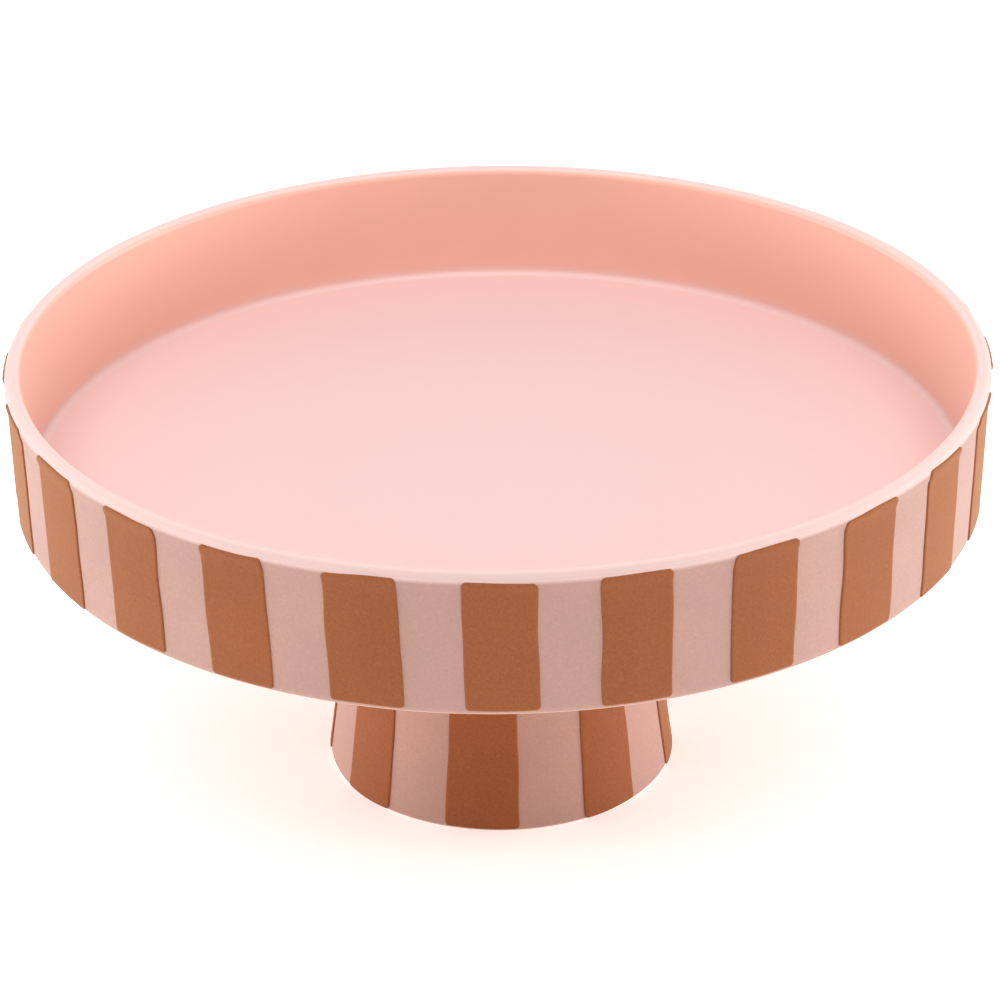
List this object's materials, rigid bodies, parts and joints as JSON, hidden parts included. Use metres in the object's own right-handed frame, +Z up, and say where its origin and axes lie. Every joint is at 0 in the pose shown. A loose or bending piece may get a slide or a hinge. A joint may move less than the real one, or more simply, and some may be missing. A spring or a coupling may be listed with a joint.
{
  "type": "cake stand",
  "caption": "Footed ceramic cake stand: shallow round dish with an upright wall on a hollow pedestal, banded with raised stripes, gloss-glazed well",
  "frame": {"origin": "centre of the foot ring, on the surface that the stand rests on", "axes": "+Z up along the axis of revolution, -Y to the front, where the first dish stripe is centred"},
  "size_m": [0.2501, 0.2501, 0.1163],
  "materials": {
    "pink_clay": "matte, finely speckled",
    "pink_gloss_glaze": "gloss",
    "caramel_slip": "matte, finely speckled"
  },
  "bodies": {
    "root": {"dish": "pink_clay", "well_glaze": "pink_gloss_glaze", "pedestal": "pink_clay", "luting_seam": "pink_clay", "dish_stripe_01": "caramel_slip", "dish_stripe_02": "caramel_slip", "dish_stripe_03": "caramel_slip", "dish_stripe_04": "caramel_slip", "dish_stripe_05": "caramel_slip", "dish_stripe_06": "caramel_slip", "dish_stripe_07": "caramel_slip", "dish_stripe_08": "caramel_slip", "dish_stripe_09": "caramel_slip", "dish_stripe_10": "caramel_slip", "dish_stripe_11": "caramel_slip", "dish_stripe_12": "caramel_slip", "dish_stripe_13": "caramel_slip", "dish_stripe_14": "caramel_slip", "dish_stripe_15": "caramel_slip", "dish_stripe_16": "caramel_slip", "dish_stripe_17": "caramel_slip", "dish_stripe_18": "caramel_slip", "dish_stripe_19": "caramel_slip", "dish_stripe_20": "caramel_slip", "dish_stripe_21": "caramel_slip", "dish_stripe_22": "caramel_slip", "dish_stripe_23": "caramel_slip", "dish_stripe_24": "caramel_slip", "foot_stripe_01": "caramel_slip", "foot_stripe_02": "caramel_slip", "foot_stripe_03": "caramel_slip", "foot_stripe_04": "caramel_slip", "foot_stripe_05": "caramel_slip", "foot_stripe_06": "caramel_slip", "foot_stripe_07": "caramel_slip", "foot_stripe_08": "caramel_slip"}
  },
  "joints": []
}
